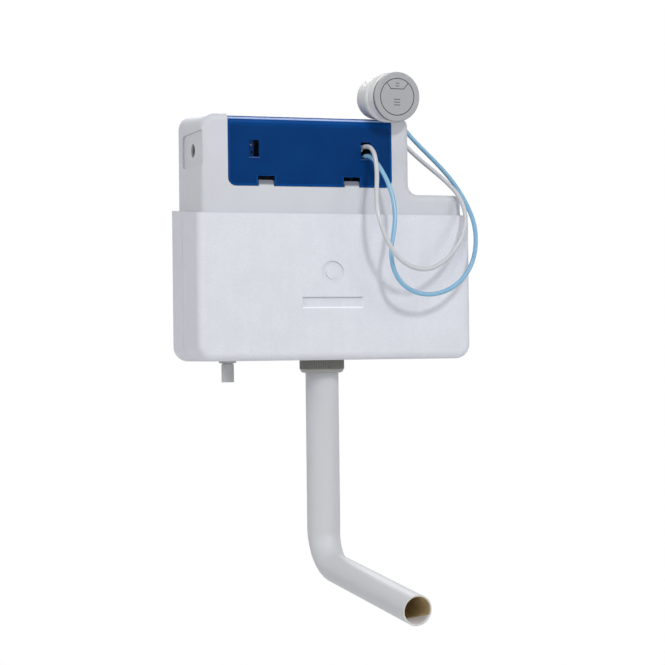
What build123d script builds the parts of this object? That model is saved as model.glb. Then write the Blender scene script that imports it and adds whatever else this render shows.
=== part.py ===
"""Concealed dual-flush toilet cistern with an air-operated push button, in millimetres."""
from build123d import *
from math import cos, pi, radians, sin, sqrt, tan
import os

os.makedirs("parts", exist_ok=True)

# Directions: x runs to the right, y towards the wall, z up. The origin is midway between the
# two wall fixings, on the face of the wall. Heights that end in rise are counted from the
# underside of the insulation jacket.

# Fits and small gaps
overrun = 2.0  # how far every cut runs past the face it opens
jacket_gap = 0.3  # foam to tank
thread_gap = 0.15  # radial gap in a screwed joint
slide_gap = 0.3  # radial gap round parts that slide freely
pin_gap = 0.05  # radial gap of a hinge pin in its lever
contact_gap = 0.3  # between a lifter and what it lifts

# Insulation jacket, white foam in two halves
jacket_width = 380.0
jacket_depth = 138.0
jacket_height = 192.0
slope_angle = 4.8  # of the neck's top and the jacket's rim, up towards the wall
jacket_wall = 8.0
jacket_foot_radius = 20.0
jacket_edge_radius = 10.0
jacket_seam = 0.7
rear_half_depth = 61.6
badge_radius = 15.5
badge_depth = 1.8
badge_disc_radius = 8.5
badge_disc_height = 1.2
badge_rise = 115.0
badge_x = -7.0
panel_width = 85.0
panel_height = 15.0
panel_depth = 2.2
panel_bevel = 2.0
panel_rise = 75.6
outlet_well_radius = 33.0
inlet_well_radius = 14.0

# Tank, one blow-moulded shell with a raised neck
fixing_rise = 292.0
tank_wall = 3.0
tank_edge_radius = 9.0
tank_foot_radius = 12.0
shoulder_rise = 220.0
shoulder_radius = 11.0
shoulder_hollow_radius = 14.0
neck_rise = 321.5
neck_right = 106.5
neck_left_radius = 21.0
neck_right_radius = 11.0
fixing_spacing = 160.0
fixing_hole_radius = 4.0
fixing_boss_radius = 11.0
side_inlet_radius = 9.0
side_inlet_y = -80.0
side_inlet_rise = 277.0
side_pad_low_rise = 256.0
side_pad_height = 44.0
side_pad_back = 36.0
side_pad_depth = 2.5
side_pad_radius = 8.0
catch_width = 20.0
catch_height = 8.5

# Access cover, blue, wrapped over the front and the top of the neck
cover_left = -145.5
cover_right = 80.5
cover_rise = 228.5
cover_drop = 2.2
cover_thickness = 3.0
cover_top_depth = 80.0
cover_gap = 0.6
cover_seat_gap = 0.3
cover_ledge = 7.0
cover_corner_radius = 10.0
cover_border = 2.8
cover_panel_depth = 0.8
cover_panel_radius = 6.0
slot_width = 13.0
slot_height = 22.0
slot_rise = 277.0
spare_slot_x = -110.0
tube_slot_x = 44.6
slot_lip = 1.2
slot_lip_height = 1.6
lug_width = 6.0
lug_thickness = 2.0
lug_set_back = 2.2
lug_hole_radius = 1.8
lug_hole_shares = (0.27, 0.73)
notch_width = 23.0
notch_height = 13.0
notch_rim_width = 2.5
notch_rim_height = 1.0
notch_left_x = -94.0
notch_right_x = 24.5

# Inlet, a bottom-entry fill valve with a G3/8 tail
inlet_from_side = 58.0
middle_y = -69.0
tail_radius = 8.331
tail_length = 28.0
tail_thread_length = 24.0
tail_relief_radius = 7.4
tail_relief_length = 2.0
shank_radius = 8.2
tail_bore = 5.5
tail_flange_radius = 15.0
tail_flange_thickness = 3.0
tail_washer_thickness = 2.5
inlet_nut_radius = 12.0
inlet_nut_height = 11.0
filter_radius = 5.4
filter_height = 14.0
filter_wall = 1.0
riser_radius = 9.0
riser_rise = 236.0
valve_head_radius = 16.0
valve_head_height = 14.0
valve_cap_height = 9.0
valve_rib_count = 24
valve_rib_depth = 0.8
diaphragm_radius = 12.0
diaphragm_thickness = 2.0
spout_radius = 4.0
spout_length = 60.0
spout_bore = 2.6
cross_bore = 2.2
lever_pivot_offset = -20.0
lever_pivot_up = 6.0
lever_pin_radius = 1.5
lever_pin_length = 16.0
lever_width = 9.0
lever_thickness = 3.0
lever_reach = 40.0
lever_slot_length = 9.0
valve_lift_angle = 16.0
float_radius = 27.0
float_height = 46.0
float_wall = 1.6
float_top_rise = 208.0
float_stem_radius = 2.0
float_collar_radius = 3.6
float_collar_height = 2.0

# Outlet, a G1 1/2 flush valve seat clamped through the tank floor
spigot_radius = 23.9
spigot_bore = 20.0
spigot_end_drop = 8.5
base_flange_radius = 40.0
base_flange_thickness = 4.0
base_washer_thickness = 3.0
seat_height = 5.0
seat_radius = 23.0
outlet_nut_radius = 30.0
outlet_nut_height = 7.0

# Coupling nut and flush pipe
nut_radius = 30.1
nut_side_height = 12.2
nut_height = 17.2
nut_tooth_count = 60
nut_tooth_depth = 0.9
nut_rim_height = 1.6
pipe_radius = 22.25
pipe_bore = 20.2
pipe_collar_radius = 23.6
pipe_collar_height = 2.5
pipe_seal_height = 3.0
pipe_drop = 272.0
bend_radius = 50.0
leg_radius = 19.25
leg_wall = 1.9
leg_length = 289.0
leg_fall_angle = 6.5
leg_turn_angle = 4.3

# Flush valve
cage_radius = 37.0
cage_wall = 2.5
cage_leg_count = 6
cage_leg_width = 9.0
cage_foot_height = 8.0
cage_rise = 112.0
cage_roof = 3.0
tower_radius = 19.5
tower_bore = 17.0
tower_above_cup = 2.0
tower_window_width = 12.0
tower_window_height = 30.0
overflow_radius = 14.0
overflow_bore = 11.5
overflow_above_cup = 18.0
crown_radius = 20.5
crown_height = 4.0
plunger_foot_radius = 26.0
plunger_foot_height = 3.0
seal_radius = 27.0
seal_thickness = 3.5
nose_length = 8.0
retainer_radius = 17.0
retainer_height = 2.5
flush_float_radius = 32.0
flush_float_height = 34.0
flush_float_rise = 34.0

# Air-driven lifters beside the tower
lifter_offset = 36.0
cup_radius = 12.5
cup_wall = 1.8
cup_height = 38.0
cup_start_drop = 20.0
clamp_height = 16.0
clamp_wall = 3.0
bellows_radius = 9.5
bellows_height = 16.0
bellows_wall = 0.9
bellows_fold_count = 5
bellows_fold_depth = 2.0
lifter_foot_radius = 9.8
lifter_foot_height = 3.0
lifter_stem_radius = 3.0
lifter_arm_width = 9.0
lifter_arm_height = 4.0
half_lift = 7.0
air_boss_length = 9.0
air_boss_height = 8.0

# Air tubes and the spigots they are pushed onto
tube_radius = 3.0
tube_bore = 2.0
spigot_tip_radius = 1.95
spigot_tip_length = 11.0
tube_start_rise = 208.0

# Push button, its barrel lying on the neck and the flange of its nut hooked over the front
button_x = 76.0
button_y = -166.4
button_rest_gap = 0.3
button_turn_angle = 3.9
bezel_radius = 32.6
bezel_bore = 24.3
bezel_height = 2.6
bezel_edge_radius = 1.2
bezel_skirt_height = 6.0
button_gap = 0.4
button_height = 4.0
half_low_v = 10.6
half_high_v = 18.7
half_low_u = 9.1
half_high_u = 15.5
icon_depth = 0.3
icon_line = 0.9
icon_length = 9.0
icon_pitch = 3.7
icon_drop = 7.0
half_icon_length = 5.5
half_icon_v = 16.0
gasket_radius = 32.2
gasket_height = 3.2
clamp_nut_radius = 30.5
clamp_nut_height = 28.2
clamp_flange_radius = 33.0
clamp_flange_height = 7.0
clamp_flange_bevel = 0.8
barrel_radius = 27.7
barrel_bore = 25.9
barrel_length = 72.0
barrel_end_radius = 3.0
barrel_end_wall = 4.0
pump_radius = 10.5
pump_wall = 1.0
pump_fold_count = 6
pump_fold_depth = 2.2
pump_offset = 12.2
stem_radius = 3.5
stem_foot_radius = 9.0
stem_foot_height = 2.0
half_stem_v = 14.8
pump_front = 30.0
spring_wire = 0.9
spring_radius = 5.5
spring_turns = 7
air_spigot_offset = 10.0
air_collar_radius = 3.6
air_collar_height = 3.0
air_lead = 16.0

# Values that follow from those above
jacket_base = -fixing_rise
jacket_front = -jacket_depth
split_y = -rear_half_depth
outlet_x = 0.0
inlet_x = -jacket_width / 2 + inlet_from_side
tank_inset = jacket_wall + jacket_gap
tank_half = jacket_width / 2 - tank_inset
tank_front = jacket_front + tank_inset
tank_back = -tank_inset
tank_base = jacket_base + tank_inset
tank_floor = tank_base + tank_wall
neck_top = jacket_base + neck_rise
neck_peak = neck_top + (tank_back - tank_front) * tan(radians(slope_angle))
jacket_peak = jacket_base + jacket_height + jacket_depth * tan(radians(slope_angle))
cover_seat = cover_thickness + cover_seat_gap
cup_rise = tube_start_rise - cup_start_drop
tower_rise = cup_rise + cup_height + tower_above_cup
overflow_rise = cup_rise + cup_height + overflow_above_cup
barb_y = middle_y - cup_radius - air_boss_length / 2


def rise(height):
    """The z of a height counted from the underside of the jacket."""
    return jacket_base + height


def block(x_low, x_high, y_low, y_high, z_low, z_high):
    """A box between two corners."""
    middle = Pos((x_low + x_high) / 2, (y_low + y_high) / 2, (z_low + z_high) / 2)
    return middle * Box(x_high - x_low, y_high - y_low, z_high - z_low)


def rod(x, y, z_low, z_high, radius):
    """An upright cylinder."""
    return Pos(x, y, (z_low + z_high) / 2) * Cylinder(radius, z_high - z_low)


def ring(x, y, z_low, z_high, radius, bore):
    """An upright tube."""
    hole = rod(x, y, z_low - overrun, z_high + overrun, bore)
    return rod(x, y, z_low, z_high, radius) - hole


def turned(x, y, outline):
    """A lathe part about an upright axis, from (radius, z) points."""
    face = make_face(Polyline(*[(r, 0, z) for r, z in outline], close=True))
    return Pos(x, y, 0) * revolve(face, Axis.Z, revolution_arc=360)


def rounded_face(corners):
    """A flat face from (u, v, corner radius) corners."""
    face = make_face(Polyline(*[(u, v) for u, v, r in corners], close=True))
    for u, v, r in corners:
        if r > 0:
            corner = face.vertices().sort_by_distance((u, v, 0))[0]
            face = fillet(corner, r)
    return face


def front_plate(face, y_front, y_back):
    """A face drawn in the front view, as thick as from one y to another."""
    return Pos(0, y_back, 0) * extrude(Plane.XZ * face, y_back - y_front)


def save(name, solid):
    """Write one sub-part."""
    export_step(solid, f"parts/{name}.step")


def above_slope(y, z):
    """All that lies above the plane that starts at that y and z and slopes up to the wall."""
    space = block(-jacket_width, jacket_width, -jacket_depth, 2 * jacket_depth, 0, neck_rise)
    return Pos(0, y, z) * Rot(slope_angle, 0, 0) * space


def tank_block(side, front, top):
    """The tank's outside, drawn in by so much at its sides and back, its front and its top."""
    outline = [
        (-tank_half + side, tank_base + side, tank_foot_radius - side),
        (tank_half - side, tank_base + side, tank_foot_radius - side),
        (tank_half - side, rise(shoulder_rise) - side, shoulder_radius - side),
        (neck_right - side, rise(shoulder_rise) - side, shoulder_hollow_radius + side),
        (neck_right - side, neck_peak + overrun, 0),
        (-tank_half + side, neck_peak + overrun, 0),
    ]
    solid = front_plate(rounded_face(outline), tank_front + front, tank_back - side)
    solid -= above_slope(tank_front, neck_top - top)
    for index, radius in ((0, neck_left_radius), (-1, neck_right_radius)):
        roof = solid.faces().sort_by(Axis.Z)[-1]
        solid = fillet(roof.edges().sort_by(Axis.X)[index], radius - side)
    faces = solid.faces().sort_by(Axis.Y)
    edges = faces[0].edges() + faces[-1].edges()
    return fillet(edges, tank_edge_radius - side)


def cover_footprint(grow, depth):
    """The box that the access cover fills, seen from the front and from above."""
    outline = [
        (cover_left - grow, rise(cover_rise) - grow, cover_corner_radius + grow),
        (cover_right + grow, rise(cover_rise) - grow, cover_corner_radius + grow),
        (cover_right + grow, neck_peak + overrun, 0),
        (cover_left - grow, neck_peak + overrun, 0),
    ]
    return front_plate(rounded_face(outline), tank_front - overrun, tank_front + depth + grow)


def make_tank():
    """The blow-moulded shell with its cover seat, catches, wall bosses and holes."""
    outside = tank_block(0, 0, 0)
    inside = tank_block(tank_wall, tank_wall, tank_wall)
    thick = cover_footprint(tank_wall, cover_top_depth)
    deep = tank_block(tank_wall, tank_wall + cover_seat, tank_wall + cover_drop + cover_seat)
    tank = outside - ((inside - thick) + (deep & thick))
    seat = tank_block(0, cover_seat, cover_drop + cover_seat)
    tank -= cover_footprint(cover_gap, cover_top_depth) - seat
    mouth = [
        (cover_left + cover_ledge, rise(cover_rise) + cover_ledge, cover_corner_radius),
        (cover_right - cover_ledge, rise(cover_rise) + cover_ledge, cover_corner_radius),
        (cover_right - cover_ledge, neck_peak + overrun, 0),
        (cover_left + cover_ledge, neck_peak + overrun, 0),
    ]
    mouth_back = tank_front + cover_top_depth - cover_ledge
    tank -= front_plate(rounded_face(mouth), tank_front - overrun, mouth_back)
    tank += make_catches()
    tank = cut_side_pad(tank)
    for side in (-1, 1):
        x = side * fixing_spacing / 2
        boss = Pos(x, tank_back / 2, 0) * Rot(90, 0, 0) * Cylinder(fixing_boss_radius, -tank_back)
        hole_length = -tank_back + tank_wall + 2 * overrun
        hole = Cylinder(fixing_hole_radius, hole_length)
        hole_y = (tank_back - tank_wall) / 2
        tank = tank + boss - Pos(x, hole_y, 0) * Rot(90, 0, 0) * hole
    floor_cut = (tank_base - overrun, tank_floor + overrun)
    tank -= rod(outlet_x, middle_y, *floor_cut, spigot_radius + slide_gap)
    tank -= rod(inlet_x, middle_y, *floor_cut, tail_radius + slide_gap)
    return tank


def make_catches():
    """Two ramps on the sill that the cover's notches snap over."""
    sill = rise(cover_rise) - cover_gap
    ledge = tank_front + cover_seat
    ramp = [
        (tank_front, sill),
        (ledge + tank_wall, sill),
        (ledge + tank_wall, sill + catch_height),
        (ledge, sill + catch_height),
    ]
    face = make_face(Polyline(*[(0, y, z) for y, z in ramp], close=True))
    wedge = Pos(-catch_width / 2, 0, 0) * extrude(face, catch_width, dir=(1, 0, 0))
    return Pos(notch_left_x, 0, 0) * wedge + Pos(notch_right_x, 0, 0) * wedge


def cut_side_pad(tank):
    """The sunk flat on the left of the neck, with the hole for a side inlet."""
    x = -tank_half
    low = rise(side_pad_low_rise)
    high = low + side_pad_height
    front = tank_front - overrun
    back = -side_pad_back
    pad = block(x - overrun, x + side_pad_depth, front, back, low, high)
    rounds = pad.edges().filter_by(Axis.X).sort_by(Axis.Y)[-2:]
    pad = fillet(rounds, side_pad_radius)
    backing_x = x + side_pad_depth + tank_wall
    inner_front = tank_front + tank_wall
    backing = block(x + tank_wall / 2, backing_x, inner_front, back + tank_wall, low - tank_wall,
                    high + tank_wall)
    hole_middle = Pos(x + side_pad_depth, side_inlet_y, rise(side_inlet_rise))
    hole = hole_middle * Rot(0, 90, 0) * Cylinder(side_inlet_radius, 2 * tank_wall + 2 * overrun)
    return tank + backing - pad - hole


def make_jacket():
    """The foam jacket, open at the top, parted into a front and a rear half."""
    half = jacket_width / 2
    outline = [
        (-half, jacket_base, jacket_foot_radius),
        (half, jacket_base, jacket_foot_radius),
        (half, jacket_peak + overrun, 0),
        (-half, jacket_peak + overrun, 0),
    ]
    jacket = front_plate(rounded_face(outline), jacket_front, 0)
    faces = jacket.faces().sort_by(Axis.Y)
    edges = faces[0].edges() + faces[-1].edges()
    kept = [edge for edge in edges if edge.center().Z < jacket_peak]
    jacket = fillet(kept, jacket_edge_radius) - above_slope(jacket_front, rise(jacket_height))
    jacket -= tank_block(-jacket_gap, -jacket_gap, 0)
    well_cut = (jacket_base - overrun, tank_base + overrun)
    jacket -= rod(outlet_x, middle_y, *well_cut, outlet_well_radius)
    jacket -= rod(inlet_x, middle_y, *well_cut, inlet_well_radius)
    badge = Pos(badge_x, jacket_front, rise(badge_rise)) * Rot(90, 0, 0)
    recess = Cylinder(badge_radius, 2 * badge_depth)
    disc_back = -badge_depth + badge_disc_height
    recess -= rod(0, 0, -2 * badge_depth, disc_back, badge_disc_radius)
    jacket -= badge * recess
    label = block(badge_x - panel_width / 2, badge_x + panel_width / 2,
                  jacket_front - overrun, jacket_front + panel_depth,
                  rise(panel_rise) - panel_height / 2, rise(panel_rise) + panel_height / 2)
    jacket -= chamfer(label.faces().sort_by(Axis.Y)[-1].edges(), panel_bevel)
    reach = half + overrun
    seam_low = split_y - jacket_seam / 2
    seam_high = split_y + jacket_seam / 2
    low = jacket_base - overrun
    high = jacket_peak + overrun
    front_half = jacket - block(-reach, reach, seam_low, overrun, low, high)
    rear_half = jacket - block(-reach, reach, jacket_front - overrun, seam_high, low, high)
    return front_half, rear_half


def make_cover():
    """The access cover with its sunk panel, two slots, a slotted lug and two catch notches."""
    skin = tank_block(0, 0, cover_drop)
    core = tank_block(0, cover_thickness, cover_drop + cover_thickness)
    cover = (skin - core) & cover_footprint(0, cover_top_depth)
    panel = [
        (cover_left + cover_border, rise(cover_rise) + cover_border, cover_panel_radius),
        (cover_right - cover_border, rise(cover_rise) + cover_border, cover_panel_radius),
        (cover_right - cover_border, neck_top - tank_edge_radius - cover_border, cover_panel_radius),
        (cover_left + cover_border, neck_top - tank_edge_radius - cover_border, cover_panel_radius),
    ]
    sunk = front_plate(rounded_face(panel), tank_front - overrun, tank_front + cover_panel_depth)
    through = (tank_front - overrun, tank_front + cover_thickness + overrun)
    rim = notch_width / 2 + notch_rim_width
    rim_top = rise(cover_rise) + notch_height + notch_rim_height
    for x in (notch_left_x, notch_right_x):
        sunk -= block(x - rim, x + rim, *through, rise(cover_rise), rim_top)
    cover -= sunk
    slot_low = rise(slot_rise) - slot_height / 2
    slot_high = rise(slot_rise) + slot_height / 2
    for x in (spare_slot_x, tube_slot_x):
        lip_sides = (x - slot_width / 2 - slot_lip, x + slot_width / 2 + slot_lip)
        lip_y = (tank_front - slot_lip / 2, tank_front + cover_thickness)
        cover += block(*lip_sides, *lip_y, slot_low - slot_lip_height, slot_low)
        cover -= block(x - slot_width / 2, x + slot_width / 2, *through, slot_low, slot_high)
    lug_x = spare_slot_x - slot_width / 2
    lug_front = tank_front + lug_set_back
    cover += block(lug_x - overrun, lug_x + lug_width, lug_front, lug_front + lug_thickness,
                   slot_low - overrun, slot_high + overrun)
    for share in lug_hole_shares:
        z = slot_low + slot_height * share
        hole = Pos(lug_x + lug_width / 2, lug_front, z) * Rot(90, 0, 0)
        cover -= hole * Cylinder(lug_hole_radius, 2 * lug_thickness + 2 * overrun)
    for x in (notch_left_x, notch_right_x):
        cover -= block(x - notch_width / 2, x + notch_width / 2, *through,
                       rise(cover_rise) - overrun, rise(cover_rise) + notch_height)
    return cover


def make_fill_valve():
    """The bottom-entry fill valve: body, washer, nut, filter, head, diaphragm and cap."""
    tail_end = jacket_base - tail_length
    washer_top = tank_floor + tail_washer_thickness
    flange_top = washer_top + tail_flange_thickness
    relief_low = tail_end + tail_thread_length
    relief_high = relief_low + tail_relief_length
    head_base = rise(riser_rise)
    body = turned(inlet_x, middle_y, [
        (tail_bore, tail_end),
        (tail_radius, tail_end),
        (tail_radius, relief_low),
        (tail_relief_radius, relief_low),
        (tail_relief_radius, relief_high),
        (shank_radius, relief_high),
        (shank_radius, washer_top),
        (tail_flange_radius, washer_top),
        (tail_flange_radius, flange_top),
        (riser_radius, flange_top),
        (riser_radius, head_base),
        (tail_bore, head_base),
    ])
    save("fill_valve_body", body)
    washer_bore = tail_radius + thread_gap
    save("inlet_washer", ring(inlet_x, middle_y, tank_floor, washer_top, tail_flange_radius,
                              washer_bore))
    hexagon = extrude(RegularPolygon(inlet_nut_radius, 6), inlet_nut_height)
    nut = Pos(inlet_x, middle_y, tank_base - inlet_nut_height) * hexagon
    bore = rod(inlet_x, middle_y, tank_base - inlet_nut_height - overrun, tank_base + overrun,
               washer_bore)
    save("inlet_backnut", nut - bore)
    net = rod(inlet_x, middle_y, tail_end, tail_end + filter_height, filter_radius)
    net -= rod(inlet_x, middle_y, tail_end - overrun, tail_end + filter_height - filter_wall,
               filter_radius - filter_wall)
    save("inlet_filter", net)
    head_top = head_base + valve_head_height
    head = rod(inlet_x, middle_y, head_base, head_top, valve_head_radius)
    head -= rod(inlet_x, middle_y, head_base - overrun, head_top + overrun, tail_bore)
    pocket_radius = diaphragm_radius + pin_gap
    head -= rod(inlet_x, middle_y, head_top - diaphragm_thickness, head_top + overrun,
                pocket_radius)
    spout_y = middle_y + float_radius + spout_radius + 2 * lever_pin_radius
    spout_top = head_base + valve_head_height - 2 * diaphragm_thickness
    branch_y = middle_y + (tail_bore + valve_head_radius) / 2
    branch = block(inlet_x - spout_radius, inlet_x + spout_radius, branch_y, spout_y,
                   spout_top - 2 * spout_radius, spout_top)
    spout = rod(inlet_x, spout_y, spout_top - spout_length, spout_top, spout_radius)
    head = head + branch + spout
    bore_mid = spout_top - spout_radius
    head -= rod(inlet_x, spout_y, spout_top - spout_length - overrun, bore_mid + spout_bore,
                spout_bore)
    cross_length = spout_y - middle_y
    cross = Pos(inlet_x, middle_y + cross_length / 2, bore_mid) * Rot(90, 0, 0)
    head -= cross * Cylinder(cross_bore, cross_length)
    save("fill_valve_head", head)
    seal_low = head_top - diaphragm_thickness
    save("fill_valve_diaphragm", rod(inlet_x, middle_y, seal_low, head_top, diaphragm_radius))
    cap_top = head_top + valve_cap_height
    pivot_x = inlet_x + lever_pivot_offset
    pivot_z = cap_top + lever_pivot_up
    cap = rod(inlet_x, middle_y, head_top, cap_top, valve_head_radius)
    for i in range(valve_rib_count):
        groove = Rot(0, 0, 360 / valve_rib_count * i) * Pos(valve_head_radius, 0, 0)
        cap -= Pos(inlet_x, middle_y, (head_top + cap_top) / 2) * groove * Cylinder(
            valve_rib_depth, valve_cap_height + overrun)
    ear_in = lever_width / 2 + slide_gap
    ear_out = lever_pin_length / 2
    for side in (-1, 1):
        sides = sorted((middle_y + side * ear_in, middle_y + side * ear_out))
        cap += block(pivot_x - 2 * lever_pin_radius, inlet_x - lever_pin_radius, *sides,
                     cap_top - valve_cap_height / 2, pivot_z + 2 * lever_pin_radius)
    pin_line = Pos(pivot_x, middle_y, pivot_z) * Rot(90, 0, 0)
    cap -= pin_line * Cylinder(lever_pin_radius + pin_gap / 2, lever_pin_length + overrun)
    save("fill_valve_cap", cap)
    save("float_lever_pin", pin_line * Cylinder(lever_pin_radius, lever_pin_length))
    return pivot_x, pivot_z, pin_line


def make_float(pivot_x, pivot_z, pin_line):
    """The lever over the valve cap and the float that lifts its free end."""
    eye_x = pivot_x + lever_reach
    end_x = eye_x + lever_slot_length / 2 + lever_thickness
    low = pivot_z - lever_thickness / 2
    high = pivot_z + lever_thickness / 2
    half = lever_width / 2
    lever = block(pivot_x, end_x, middle_y - half, middle_y + half, low, high)
    lever += pin_line * Cylinder(2 * lever_pin_radius, lever_width)
    lever -= pin_line * Cylinder(lever_pin_radius + pin_gap, lever_width + overrun)
    slot_half = float_stem_radius + slide_gap
    lever -= block(eye_x - lever_slot_length / 2, eye_x + lever_slot_length / 2,
                   middle_y - slot_half, middle_y + slot_half, low - overrun, high + overrun)
    save("float_lever", lever)
    top = rise(float_top_rise)
    bore = riser_radius + slide_gap
    cup = ring(inlet_x, middle_y, top - float_height, top, float_radius, bore)
    cup -= ring(inlet_x, middle_y, top - float_height - overrun, top - float_wall,
                float_radius - float_wall, bore + float_wall)
    save("fill_float", cup)
    play = float_collar_radius * tan(radians(valve_lift_angle)) + contact_gap
    collar_top = low - play
    upper_collar = high + play
    stem_top = upper_collar + 2 * float_collar_height
    stem = rod(eye_x, middle_y, top, stem_top, float_stem_radius)
    stem += rod(eye_x, middle_y, collar_top - float_collar_height, collar_top,
                float_collar_radius)
    stem += rod(eye_x, middle_y, upper_collar, upper_collar + float_collar_height,
                float_collar_radius)
    save("float_adjusting_rod", stem)


def make_outlet():
    """The threaded valve seat clamped through the floor, with its washer and nut."""
    washer_top = tank_floor + base_washer_thickness
    flange_top = washer_top + base_flange_thickness
    seat_top = flange_top + seat_height
    base = turned(outlet_x, middle_y, [
        (spigot_bore, jacket_base - spigot_end_drop),
        (spigot_radius, jacket_base - spigot_end_drop),
        (spigot_radius, washer_top),
        (base_flange_radius, washer_top),
        (base_flange_radius, flange_top),
        (seat_radius, flange_top),
        (seat_radius, seat_top),
        (spigot_bore, seat_top),
    ])
    save("flush_valve_base", base)
    washer_bore = spigot_radius + thread_gap
    save("outlet_washer", ring(outlet_x, middle_y, tank_floor, washer_top, base_flange_radius,
                               washer_bore))
    save("outlet_backnut", ring(outlet_x, middle_y, tank_base - outlet_nut_height, tank_base,
                                outlet_nut_radius, washer_bore))
    return flange_top, seat_top


def toothed_ring(z_low, z_high):
    """The grip of the coupling nut, a prism with fine upright teeth."""
    points = []
    for i in range(2 * nut_tooth_count):
        angle = pi / nut_tooth_count * i
        radius = nut_radius - nut_tooth_depth * (i % 2)
        points.append((radius * cos(angle), radius * sin(angle)))
    face = make_face(Polyline(*points, close=True))
    return Pos(outlet_x, middle_y, z_low) * extrude(face, z_high - z_low)


def make_flush_pipe():
    """The coupling nut, its cone seal and the bent flush pipe that narrows in its bend."""
    seal_top = jacket_base - spigot_end_drop
    seal_low = seal_top - pipe_seal_height
    lip_top = seal_low - pipe_collar_height
    side_low = jacket_base - nut_side_height
    foot = jacket_base - nut_height
    thread = spigot_radius + thread_gap
    nut = turned(outlet_x, middle_y, [
        (thread, jacket_base),
        (nut_radius, jacket_base),
        (nut_radius, jacket_base - nut_rim_height),
        (nut_radius - nut_tooth_depth, jacket_base - nut_rim_height),
        (nut_radius - nut_tooth_depth, foot),
        (pipe_radius + slide_gap, foot),
        (pipe_radius + slide_gap, lip_top),
        (thread, lip_top),
    ])
    foot_edges = nut.edges().filter_by(GeomType.CIRCLE).group_by(Axis.Z)[0]
    nut = fillet(foot_edges.sort_by(SortBy.RADIUS)[-1], nut_height - nut_side_height)
    teeth = toothed_ring(side_low, jacket_base - nut_rim_height)
    nut += teeth - rod(outlet_x, middle_y, foot, jacket_base, spigot_radius + nut_tooth_depth)
    save("flush_pipe_nut", nut)
    save("flush_pipe_seal", ring(outlet_x, middle_y, seal_low, seal_top, pipe_collar_radius,
                                 pipe_bore))
    corner = Vector(outlet_x, middle_y, jacket_base - pipe_drop)
    fall = radians(leg_fall_angle)
    turn = radians(leg_turn_angle)
    leg = Vector(sin(turn) * cos(fall), -cos(turn) * cos(fall), -sin(fall))
    pipe = pipe_run(pipe_radius, leg_radius, corner, leg, seal_low, 0)
    pipe += rod(outlet_x, middle_y, lip_top, seal_low, pipe_collar_radius)
    pipe -= pipe_run(pipe_bore, leg_radius - leg_wall, corner, leg, seal_low + overrun, overrun)
    save("flush_pipe", pipe)
    return corner + leg * leg_length, leg


def pipe_run(drop_radius, end_radius, corner, leg, top, extra):
    """A bent rod: an upright stretch, a bend that narrows and a straight leg."""
    high = Vector(corner.X, corner.Y, top)
    end = corner + leg * (leg_length + extra)
    path = FilletPolyline(high, corner, end, radius=bend_radius)
    drop, bend, straight = path.edges().sort_by(lambda edge: -edge.center().Z)
    upper = Plane(origin=bend @ 0, z_dir=bend % 0)
    lower = Plane(origin=bend @ 1, z_dir=bend % 1)
    if upper.origin.Z < lower.origin.Z:
        upper, lower = lower, upper
    narrowing = sweep([upper * Circle(drop_radius), lower * Circle(end_radius)], path=bend,
                      multisection=True)
    start = Plane(origin=high, z_dir=(0, 0, -1))
    upright = extrude(start * Circle(drop_radius), drop.length)
    leg_plane = Plane(origin=lower.origin, z_dir=leg)
    return upright + narrowing + extrude(leg_plane * Circle(end_radius), straight.length)


def make_flush_valve(flange_top, seat_top):
    """The cage and tower over the seat, and the plunger that slides in them."""
    roof = rise(cage_rise)
    cage = ring(outlet_x, middle_y, flange_top, roof, cage_radius, cage_radius - cage_wall)
    gap = 2 * pi * cage_radius / cage_leg_count - cage_leg_width
    window_low = flange_top + cage_foot_height
    window_high = roof - cage_roof - cage_foot_height
    for i in range(cage_leg_count):
        window = block(0, cage_radius + overrun, -gap / 2, gap / 2, window_low, window_high)
        cage -= Pos(outlet_x, middle_y, 0) * Rot(0, 0, 360 / cage_leg_count * i) * window
    cage += ring(outlet_x, middle_y, roof - cage_roof, roof, cage_radius, tower_bore)
    tower = ring(outlet_x, middle_y, roof, rise(tower_rise), tower_radius, tower_bore)
    tower_middle = (roof + rise(cup_rise)) / 2
    for turn in (0, 90):
        cut = block(-tower_radius - overrun, tower_radius + overrun,
                    -tower_window_width / 2, tower_window_width / 2,
                    tower_middle - tower_window_height / 2,
                    tower_middle + tower_window_height / 2)
        tower -= Pos(outlet_x, middle_y, 0) * Rot(0, 0, turn) * cut
    save("flush_valve_cage", cage + tower)
    seal_top = seat_top + seal_thickness
    foot_top = seal_top + plunger_foot_height
    nose = seat_top - nose_length
    top = rise(overflow_rise)
    crown_base = top - crown_height
    tube = turned(outlet_x, middle_y, [
        (overflow_bore, nose),
        (overflow_radius, nose),
        (overflow_radius, seal_top),
        (plunger_foot_radius, seal_top),
        (plunger_foot_radius, foot_top),
        (overflow_radius, foot_top),
        (overflow_radius, top),
        (overflow_bore, top),
    ])
    save("overflow_tube", tube)
    sleeve = overflow_radius + pin_gap
    save("flush_seal", ring(outlet_x, middle_y, seat_top, seal_top, seal_radius, sleeve))
    save("seal_retainer", ring(outlet_x, middle_y, seat_top - retainer_height, seat_top,
                               retainer_radius, sleeve))
    save("overflow_crown", ring(outlet_x, middle_y, crown_base, top, crown_radius, sleeve))
    float_low = rise(flush_float_rise)
    bob = ring(outlet_x, middle_y, float_low, float_low + flush_float_height, flush_float_radius,
               sleeve)
    bob -= ring(outlet_x, middle_y, float_low - overrun,
                float_low + flush_float_height - cage_wall, flush_float_radius - cage_wall,
                sleeve + cage_wall)
    save("flush_float", bob)
    return crown_base


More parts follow.
